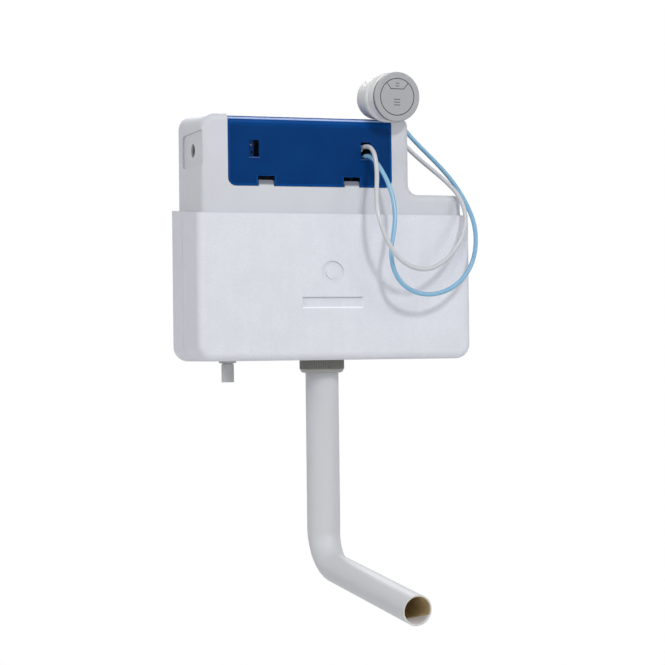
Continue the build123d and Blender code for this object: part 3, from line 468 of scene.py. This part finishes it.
def make_pipe(name, colour, inside):
    pipe = Finish(name, 0.36)
    offset = pipe.vector("SUBTRACT", pipe.place, leg_start)
    across = pipe.vector("CROSS_PRODUCT", offset, leg_direction)
    distance = pipe.vector("LENGTH", across, output="Value")
    along = pipe.vector("DOT_PRODUCT", offset, leg_direction, "Value")
    high = pipe.vector("DOT_PRODUCT", offset, leg_up, "Value")
    bore = 1 - distance.clear(leg_bore + 0.25 * MM, leg_bore + 0.7 * MM)
    bore = bore * along.clear(bore_start, bore_start + 30.0 * MM)
    # Painted shadow: the bore is brown beyond the line where the rim's shadow falls, and painted
    # paler in front of it.
    shadow_edge = high + (leg_length - along) * shadow_line_slope + pipe.noise(14.0, 2.0) * 1.2 * MM
    bore_shadow = shadow_edge.clear(shadow_line_level, shadow_line_level + 1.2 * MM)
    lines = pipe.noise(1.2, 2.0, stretch=(1.0, 1.0, 0.03))
    clouds = pipe.noise(60.0, 3.0)
    body = pipe.mix(clouds, times(colour, 0.95), colour)
    bore_brown = pipe.mix(pipe.noise(6.0, 3.0), times(inside, 0.8), inside)
    bore_painted_light = pipe.mix(bore, body, times(colour, 1.35))
    return pipe.drive(Base_Color=pipe.mix(bore * bore_shadow, bore_painted_light, bore_brown),
                      Roughness=0.42 + clouds * 0.08 + bore * 0.2 + lines * 0.05,
                      Normal=pipe.bump(lines * 0.7 + pipe.noise(0.5, 2.0) * 0.3, 0.03, 0.5))


pipe_finish = make_pipe("pipe_white_abs", (0.60, 0.608, 0.64), (0.66, 0.52, 0.30))
print("pipe's leg", round(leg_length / MM), "mm long, bore", round(2 * leg_bore / MM, 1), "mm")

# %% [markdown]
# ## Rubber and spring wire
# Rubber is nearly black and scatters light widely, with a dusty bloom. The spring wire is drawn,
# so its scratches run along it. A plain dark or plain metal colour would do for pieces so small,
# but the bloom and the scratches are what tell rubber from plastic when the button is opened.

# %% Rubber and wire finishes
def make_rubber(name, colour):
    rubber = Finish(name, 0.62, Specular_IOR_Level=0.4)
    bloom = rubber.noise(7.0, 4.0).clear(0.45, 0.75)
    return rubber.drive(Base_Color=rubber.mix(bloom * 0.5, colour, times(colour, 1.6, 0.02)),
                        Roughness=0.56 + bloom * 0.14,
                        Normal=rubber.bump(rubber.noise(0.35, 2.0), 0.03, 0.5))


def make_wire(name, colour):
    wire = Finish(name, 0.28, 1.0)
    lines = wire.noise(0.25, 3.0, stretch=(1.0, 1.0, 6.0))
    return wire.drive(Base_Color=wire.mix(wire.noise(3.0, 3.0), times(colour, 0.8), colour),
                      Roughness=0.22 + lines * 0.2, Normal=wire.bump(lines, 0.01, 0.4))


black_rubber_finish = make_rubber("rubber_black", (0.022, 0.022, 0.024))
grey_rubber_finish = make_rubber("rubber_grey", (0.075, 0.08, 0.09))
wire_finish = make_wire("spring_wire", (0.62, 0.62, 0.63))
print("materials so far", len(bpy.data.materials))

# %% [markdown]
# ## The button's satin face
# The button's face is plated plastic, blasted to a satin sheen: part metal, with a fine even
# grain. The gaps round the two plates and the sunk marks on them get painted shade. They could
# be left to the light alone, but they are narrower than a bead of the foam, so they are darkened
# by place: how far below the face, how near to the opening's rim, and how near to the line
# between the plates, which is straight in its middle and slants up to the rim on both sides.

# %% Satin finish
button_middle = Vector((76.0, -166.4, 53.266)) * MM
button_out = Vector((0.067777, -0.994185, -0.083678))
button_right = Vector((0.99768, 0.06801, 0.0))
button_up = button_out.cross(button_right)
opening_radius = 24.1 * MM
split_height = 10.4 * MM
split_half_width = 9.2 * MM
split_slope = 1.266
split_top = 18.4 * MM


def from_button(finish):
    """How far out, right and up a place is from the middle of the button's face."""
    offset = finish.vector("SUBTRACT", finish.place, button_middle)
    return [finish.vector("DOT_PRODUCT", offset, axis, "Value")
            for axis in (button_out, button_right, button_up)]


def make_satin(name, colour, gap_shade):
    satin = Finish(name, 0.42, 0.35)
    out, right, up = from_button(satin)
    radius = (right * right + up * up) ** 0.5
    # Painted shade in the sunk marks, in the gaps round the plates and along the line between
    # them.
    within = 1 - radius.clear(opening_radius + 0.3 * MM, opening_radius + 0.6 * MM)
    recess_shade = within * (1 - out.clear(-0.25 * MM, -0.08 * MM))
    ring = 1 - (radius - opening_radius).size().clear(0.4 * MM, 0.8 * MM)
    above = up - split_height
    straight = 1 - above.size().clear(0.35 * MM, 0.75 * MM)
    straight = straight * (1 - right.size().clear(9.0 * MM, 9.6 * MM))
    slant = above - (right.size() - split_half_width) * split_slope
    slant = 1 - slant.size().clear(0.4 * MM, 0.95 * MM)
    slant = slant * above.clear(-0.2 * MM, 0.3 * MM)
    slant = slant * (1 - up.clear(split_top, split_top + 0.6 * MM))
    gap_shade_mask = satin.math("MAXIMUM", ring, straight + slant) * 0.8
    grain = satin.noise(0.22, 3.0)
    cloud = satin.noise(11.0, 2.0)
    body = satin.mix(grain * 0.6 + cloud * 0.4, times(colour, 0.88), colour)
    return satin.drive(Base_Color=satin.mix(satin.math("MAXIMUM", recess_shade, gap_shade_mask), body, gap_shade),
                       Roughness=0.36 + grain * 0.12 + cloud * 0.05,
                       Normal=satin.bump(grain, 0.015, 0.5))


satin_finish = make_satin("button_satin", (0.355, 0.36, 0.38), (0.03, 0.03, 0.035))
print("button's opening", round(2 * opening_radius / MM, 1), "mm wide")

# %% [markdown]
# ## The barrel's thread
# The clamp nut runs on a coarse thread, cut round the whole barrel. The same helical wave as on
# the tail makes it, but in the button's own leaning directions: how far back along its axis, plus
# the turn about it. A straight wave in world space would cut the barrel askew. Its grooves get
# painted shade.

# %% Barrel finish
barrel_pitch = 3.0 * MM


def make_barrel(name, colour):
    barrel = Finish(name, 0.42)
    out, right, up = from_button(barrel)
    turn = barrel.math("ARCTAN2", up, right) / (2 * pi)
    tooth = barrel.math("PINGPONG", out / barrel_pitch + turn, 0.5)
    dust = barrel.noise(2.6, 4.0).clear(0.5, 0.75)
    # Painted shade in the thread's grooves.
    body = barrel.mix(tooth.clear(0.06, 0.3), times(colour, 0.84), colour)
    grain = barrel.bump(barrel.noise(0.7, 3.0), 0.06, 0.5)
    return barrel.drive(Base_Color=barrel.mix(dust * 0.35, body, times(colour, 0.8)),
                        Roughness=0.4 + dust * 0.12, Normal=barrel.bump(tooth, 1.0, 0.6, grain))


threaded_finish = make_barrel("barrel_threaded_abs", (0.74, 0.74, 0.745))
print("barrel thread", round(barrel_pitch / MM, 1), "mm pitch")

# %% [markdown]
# ## A finish for every moulding
# Each node of the frame keeps its shape and gets the finish of its real material, so a list
# of which is which is all that this step needs.

# %% Dress the nodes
dressing = {
    foam_finish: ["insulation_front", "insulation_rear"],
    tank_finish: ["tank"],
    cover_finish: ["access_cover"],
    tail_finish: ["fill_valve_body", "inlet_backnut"],
    nut_finish: ["flush_pipe_nut"],
    pipe_finish: ["flush_pipe"],
    white_finish: ["fill_valve_head", "fill_float", "flush_valve_base", "overflow_tube",
                   "lifter_housing", "outlet_backnut", "float_adjusting_rod", "inlet_filter"],
    grey_finish: ["fill_valve_cap", "flush_valve_cage", "seal_retainer", "float_lever_pin"],
    blue_finish: ["float_lever", "overflow_crown", "flush_float", "full_flush_lifter",
                  "half_flush_lifter"],
    black_rubber_finish: ["inlet_washer", "outlet_washer", "flush_pipe_seal", "button_gasket",
                          "fill_valve_diaphragm"],
    grey_rubber_finish: ["flush_seal", "full_flush_bellows", "half_flush_bellows"],
    satin_finish: ["button_bezel", "full_flush_button", "half_flush_button"],
    threaded_finish: ["button_barrel"],
    barrel_finish: ["button_clamp_nut", "button_end_cap"],
}
for finish, members in dressing.items():
    for member in members:
        mesh = nodes[member].data
        mesh.materials.clear()
        mesh.materials.append(finish)
print("dressed", sum(len(members) for members in dressing.values()), "of", len(nodes))

# %% [markdown]
# ## The air pumps in the button
# Behind each plate a rubber bellows pushes air into a tube, and a spring in it brings the plate
# back. Both shorten when the plate is pressed, which a rigid solid can't do, so they are modelled
# anew. They are made upright at the origin, where sizes are easy to check, and then turned into
# the button's own directions.

# %% The pumps' place
button_frame = Matrix((button_right, button_up, button_out)).transposed().to_4x4()
pump_back = -68.0 * MM
pump_front = -30.0 * MM
pump_length = pump_front - pump_back
pump_offset = 12.2 * MM


def settle(piece, up_offset, material, node):
    """Give a piece its place in the button and its finish, and hide the node it stands in for."""
    anchor = button_middle + button_up * up_offset + button_out * pump_back
    piece.matrix_world = Matrix.Translation(anchor) @ button_frame
    bpy.ops.object.select_all(action="DESELECT")
    piece.select_set(True)
    bpy.context.view_layer.objects.active = piece
    bpy.ops.object.transform_apply(location=True, rotation=True, scale=True)
    bpy.ops.object.shade_smooth_by_angle(angle=radians(40))
    piece.data.materials.append(material)
    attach(piece, "cistern")
    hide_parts(node)
    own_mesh(piece)
    print(piece.name, len(piece.data.polygons), "faces")


# %% [markdown]
# ## A bellows
# A bellows is a thin tube folded like an accordion. It could be a turned profile, but it is
# quicker to draw a disc out ring by ring, each fold in four short steps: straight, in, straight
# and out again. A Solidify modifier then gives it its wall, and a Bevel rounds the folds.

# %% Draw out a bellows
pump_radius = 10.5 * MM
pump_wall = 1.0 * MM
fold_count = 6
fold_shares = [1.0, 0.8, 1.0, 1.25]


def make_bellows(name):
    bpy.ops.object.select_all(action="DESELECT")
    bpy.ops.mesh.primitive_circle_add(vertices=48, radius=pump_radius, fill_type="NGON")
    bellows = bpy.context.object
    bellows.name = name
    step = pump_length / (len(fold_shares) * fold_count)
    height = 0.0
    bpy.ops.object.mode_set(mode="EDIT")
    bpy.ops.mesh.select_all(action="SELECT")
    for share in fold_shares * fold_count:
        move = {"value": (0.0, 0.0, step)}
        bpy.ops.mesh.extrude_region_move(TRANSFORM_OT_translate=move)
        height += step
        bpy.ops.transform.resize(value=(share, share, 1.0), center_override=(0.0, 0.0, height))
    bpy.ops.mesh.select_all(action="SELECT")
    bpy.ops.mesh.normals_make_consistent(inside=False)
    bpy.ops.object.mode_set(mode="OBJECT")
    wall = bellows.modifiers.new("wall", "SOLIDIFY")
    wall.thickness = pump_wall
    wall.offset = -1.0
    soft = bellows.modifiers.new("soft_folds", "BEVEL")
    soft.width = 0.35 * MM
    soft.segments = 2
    soft.limit_method = "ANGLE"
    for modifier in ("wall", "soft_folds"):
        bpy.ops.object.modifier_apply(modifier=modifier)
    return bellows


settle(make_bellows("full_pump_bellows"), -pump_offset, grey_rubber_finish, "full_flush_pump")
settle(make_bellows("half_pump_bellows"), pump_offset, grey_rubber_finish, "half_flush_pump")

# %% [markdown]
# ## A spring
# A spring is a wire wound on a rod. A curve with a bevel would do, but the Screw modifier keeps
# every turn even: it takes a small circle, standing up beside the axis, and turns and raises it.
# It leaves the wire's two ends open, so they are found as the only open edges and filled.

# %% Wind a spring
spring_wire = 0.45 * MM
spring_radius = 5.5 * MM
spring_turns = 7
spring_room = pump_length - 2.2 * MM


def make_spring(name):
    bpy.ops.object.select_all(action="DESELECT")
    bpy.ops.mesh.primitive_circle_add(vertices=10, radius=spring_wire)
    spring = bpy.context.object
    spring.name = name
    bpy.ops.object.mode_set(mode="EDIT")
    bpy.ops.mesh.select_all(action="SELECT")
    bpy.ops.transform.rotate(value=pi / 2, orient_axis="X", center_override=(0.0, 0.0, 0.0))
    bpy.ops.transform.translate(value=(spring_radius, 0.0, spring_wire))
    bpy.ops.object.mode_set(mode="OBJECT")
    coil = spring.modifiers.new("coil", "SCREW")
    coil.iterations = spring_turns
    coil.screw_offset = spring_room / spring_turns
    coil.steps = 32
    coil.render_steps = 32
    bpy.ops.object.modifier_apply(modifier="coil")
    bpy.ops.object.mode_set(mode="EDIT")
    bpy.ops.mesh.select_all(action="DESELECT")
    bpy.ops.mesh.select_mode(type="EDGE")
    bpy.ops.mesh.select_non_manifold()
    bpy.ops.mesh.fill_holes(sides=0)
    bpy.ops.mesh.select_all(action="SELECT")
    bpy.ops.mesh.normals_make_consistent(inside=False)
    bpy.ops.object.mode_set(mode="OBJECT")
    return spring


settle(make_spring("full_pump_spring"), -pump_offset, wire_finish, "full_flush_spring")
settle(make_spring("half_pump_spring"), pump_offset, wire_finish, "half_flush_spring")

# %% [markdown]
# ## Clouded vinyl
# The tubes are soft vinyl, one tinted blue and one milky. A clear material with nothing in it
# would look like glass, so only a little light passes through, and the colour clouds from place
# to place.

# %% Tube finishes
def make_tube(name, colour, pale):
    tube = Finish(name, 0.24, Transmission_Weight=0.12, IOR=1.42, Coat_Weight=0.2,
                  Coat_Roughness=0.1)
    cloud = tube.noise(24.0, 3.0)
    haze = tube.noise(9.0, 2.0)
    return tube.drive(Base_Color=tube.mix(cloud * 0.7 + haze * 0.3, colour, pale),
                      Roughness=0.2 + haze * 0.08,
                      Normal=tube.bump(tube.noise(5.0, 2.0), 0.02, 0.2))


blue_tube_finish = make_tube("tube_blue_vinyl", (0.20, 0.44, 0.66), (0.27, 0.52, 0.72))
white_tube_finish = make_tube("tube_clear_vinyl", (0.57, 0.585, 0.62), (0.63, 0.645, 0.675))
print("materials so far", len(bpy.data.materials))

# %% [markdown]
# ## The tubes' routes
# Each tube leaves its lifter inside the neck, comes out through the slot of the cover, hangs in
# front of the jacket in a loose loop, and goes up behind the neck to the button's end. Letting a
# cord fall by simulation would lay it somewhere else each time the stiffness is changed, so the
# route is written down in metres, the same as in the construction.

# %% Points of the routes
blue_route = [
    (0.036, -0.086, -0.084), (0.036, -0.086, -0.068), (0.037, -0.090, -0.051),
    (0.040, -0.101, -0.035), (0.043, -0.115, -0.025), (0.045, -0.133, -0.021),
    (0.050, -0.145, -0.027), (0.057, -0.153, -0.041), (0.064, -0.160, -0.059),
    (0.069, -0.165, -0.079), (0.070, -0.170, -0.102), (0.066, -0.174, -0.126),
    (0.060, -0.177, -0.150), (0.062, -0.180, -0.175), (0.074, -0.182, -0.195),
    (0.094, -0.182, -0.206), (0.118, -0.180, -0.208), (0.143, -0.177, -0.201),
    (0.165, -0.172, -0.186), (0.182, -0.165, -0.164), (0.191, -0.156, -0.136),
    (0.193, -0.144, -0.108), (0.188, -0.129, -0.082), (0.179, -0.111, -0.055),
    (0.165, -0.093, -0.030), (0.149, -0.075, -0.007), (0.136, -0.057, 0.014),
    (0.125, -0.043, 0.036), (0.112, -0.034, 0.054), (0.096, -0.031, 0.067),
    (0.080, -0.038, 0.074), (0.071, -0.055, 0.075), (0.0699, -0.0768, 0.0708),
    (0.0710, -0.0927, 0.0695),
]
white_route = [
    (-0.036, -0.086, -0.084), (-0.036, -0.086, -0.068), (-0.033, -0.091, -0.048),
    (-0.020, -0.098, -0.031), (0.000, -0.104, -0.020), (0.024, -0.108, -0.013),
    (0.042, -0.119, -0.010), (0.046, -0.136, -0.009), (0.048, -0.150, -0.017),
    (0.047, -0.161, -0.031), (0.045, -0.170, -0.050), (0.041, -0.178, -0.072),
    (0.039, -0.184, -0.096), (0.043, -0.190, -0.120), (0.052, -0.193, -0.143),
    (0.067, -0.193, -0.163), (0.088, -0.191, -0.174), (0.112, -0.187, -0.175),
    (0.137, -0.181, -0.162), (0.158, -0.173, -0.142), (0.173, -0.163, -0.118),
    (0.178, -0.150, -0.094), (0.174, -0.135, -0.071), (0.164, -0.118, -0.053),
    (0.151, -0.101, -0.036), (0.139, -0.084, -0.020), (0.127, -0.066, -0.002),
    (0.120, -0.050, 0.017), (0.111, -0.038, 0.035), (0.097, -0.033, 0.047),
    (0.081, -0.038, 0.052), (0.071, -0.054, 0.053), (0.0698, -0.0751, 0.0509),
    (0.0709, -0.0910, 0.0496),
]
print("routes of", len(blue_route), "and", len(white_route), "points")

# %% [markdown]
# ## The air tubes
# The two tubes, six millimetres thick, carry air from the button to the lifters. A tube
# could be a swept mesh, but a curve stays smooth at any distance and keeps its true length, so
# each is one NURBS line through the points of its route, with a round bevel.

# %% Lay the air tubes
tube_radius = 3.0 * MM


def lay_tube(name, node, route, length, finish):
    curve = bpy.data.curves.new(name, "CURVE")
    curve.dimensions = "3D"
    line = curve.splines.new("NURBS")
    line.points.add(len(route) - 1)
    for point, place in zip(line.points, route):
        point.co = (*place, 1.0)
    line.order_u = 3
    line.use_endpoint_u = True
    curve.resolution_u = 8
    curve.bevel_depth = tube_radius
    curve.bevel_resolution = 5
    curve.use_fill_caps = True
    curve.materials.append(finish)
    tube = bpy.data.objects.new(name, curve)
    scene.collection.objects.link(tube)
    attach(tube, "cistern")
    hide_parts(node)
    print(name, "real length", length, "m")


lay_tube("blue_air_tube", "air_tube_blue", blue_route, 0.779, blue_tube_finish)
lay_tube("white_air_tube", "air_tube_white", white_route, 0.761, white_tube_finish)

# %% [markdown]
# ## The floor
# The cistern hangs over a pale floor. A plain floor would show a horizon, and a white one would
# lose the shadow, so this one keeps its own shade below the cistern and turns with distance into
# the white of the background. It is part of the studio, not of the cistern.

# %% Floor
floor_height = -0.95
floor_own_reach = 0.55
floor_white_reach = 1.2
floor_glow = 0.35
bpy.ops.object.select_all(action="DESELECT")
bpy.ops.mesh.primitive_circle_add(vertices=96, radius=14.0, fill_type="NGON",
                                  location=(0.0, 0.0, floor_height))
floor = bpy.context.object
floor.name = "studio_floor"
ground = Finish("studio_floor", 0.9)
ground.drive(Base_Color=ground.mix(ground.noise(30.0, 2.0), (0.86, 0.86, 0.86), (0.9, 0.9, 0.9)))
spread = ground.vector("LENGTH", ground.place, output="Value")
far = spread.clear(floor_own_reach, floor_white_reach)
ray = ground.node("ShaderNodeLightPath", {}, {}, "Is Camera Ray")
white = ground.node("ShaderNodeEmission", {}, {"Strength": 1.0}, "Emission")
own = Value(ground, ground.shader.outputs[0])
whiteness = ray * (floor_glow + far * (1 - floor_glow))
joined = ground.node("ShaderNodeMixShader", {}, {0: whiteness, 1: own, 2: white})
ground.tree.links.new(joined.socket, ground.tree.nodes["Material Output"].inputs["Surface"])
floor.data.materials.append(ground.material)
print("floor at", floor_height, "m, white from", floor_white_reach, "m out")

# %% [markdown]
# ## The sky
# The background is white by its own colour: only the camera, mirrors and clear pieces see the
# bright sky, and the object is lit by a weaker one, so that pale foam keeps its tone. One sky
# for both would either grey the background or wash the foam out.

# %% Sky
world = bpy.data.worlds.new("studio_sky")
scene.world = world
world.use_nodes = True
sky = world.node_tree
path = sky.nodes.new("ShaderNodeLightPath")
seen = path.outputs["Is Camera Ray"]
for kind in ("Is Glossy Ray", "Is Transmission Ray"):
    either = sky.nodes.new("ShaderNodeMath")
    either.operation = "MAXIMUM"
    sky.links.new(seen, either.inputs[0])
    sky.links.new(path.outputs[kind], either.inputs[1])
    seen = either.outputs[0]
choice = sky.nodes.new("ShaderNodeMixShader")
sky.links.new(seen, choice.inputs[0])
skies = [sky.nodes["Background"], sky.nodes.new("ShaderNodeBackground")]
for place, (background, strength) in enumerate(zip(skies, (0.31, 1.0)), start=1):
    background.inputs["Color"].default_value = (1.0, 1.0, 1.0, 1.0)
    background.inputs["Strength"].default_value = strength
    sky.links.new(background.outputs[0], choice.inputs[place])
sky.links.new(choice.outputs[0], sky.nodes["World Output"].inputs["Surface"])
print("sky lights with", skies[0].inputs["Strength"].default_value)

# %% [markdown]
# ## The lamps
# The tubes' two shadows on the jacket tell where the lamps stood: a small one in front and above
# makes the sharp shadow, and a larger one on the right the softer. A lamp on the left lights
# the jacket's side and passes under it to the pipe. Weaker ones fill in from above, from below
# and from behind, so that no side is left black. Discs give soft edges at a plain level of light.

# %% Soft lamps
lamp_target = Vector((0.0, -0.07, -0.15))
lamps = [
    ("key_lamp", (0.15, -2.45, 1.15), 0.35, 22.0),
    ("right_lamp", (1.75, -2.2, 0.75), 1.0, 12.0),
    ("left_lamp", (-2.3, -0.75, 0.4), 0.9, 15.0),
    ("top_lamp", (-0.3, -0.9, 2.1), 1.1, 12.0),
    ("low_lamp", (0.7, -1.7, -0.75), 0.6, 1.4),
    ("back_lamp", (0.5, 2.5, 1.0), 1.3, 20.0),
]
for name, place, size, power in lamps:
    data = bpy.data.lights.new(name, "AREA")
    data.shape = "DISK"
    data.size = size
    data.energy = power
    lamp = bpy.data.objects.new(name, data)
    scene.collection.objects.link(lamp)
    lamp.location = place
    lamp.rotation_mode = "QUATERNION"
    lamp.rotation_quaternion = (lamp_target - Vector(place)).to_track_quat("-Z", "Y")
    print(name, power, "W")

# %% [markdown]
# ## The view transform
# The colours are written for a plain view, so the view transform is the standard one.

# %% View transform
scene.view_settings.view_transform = "Standard"
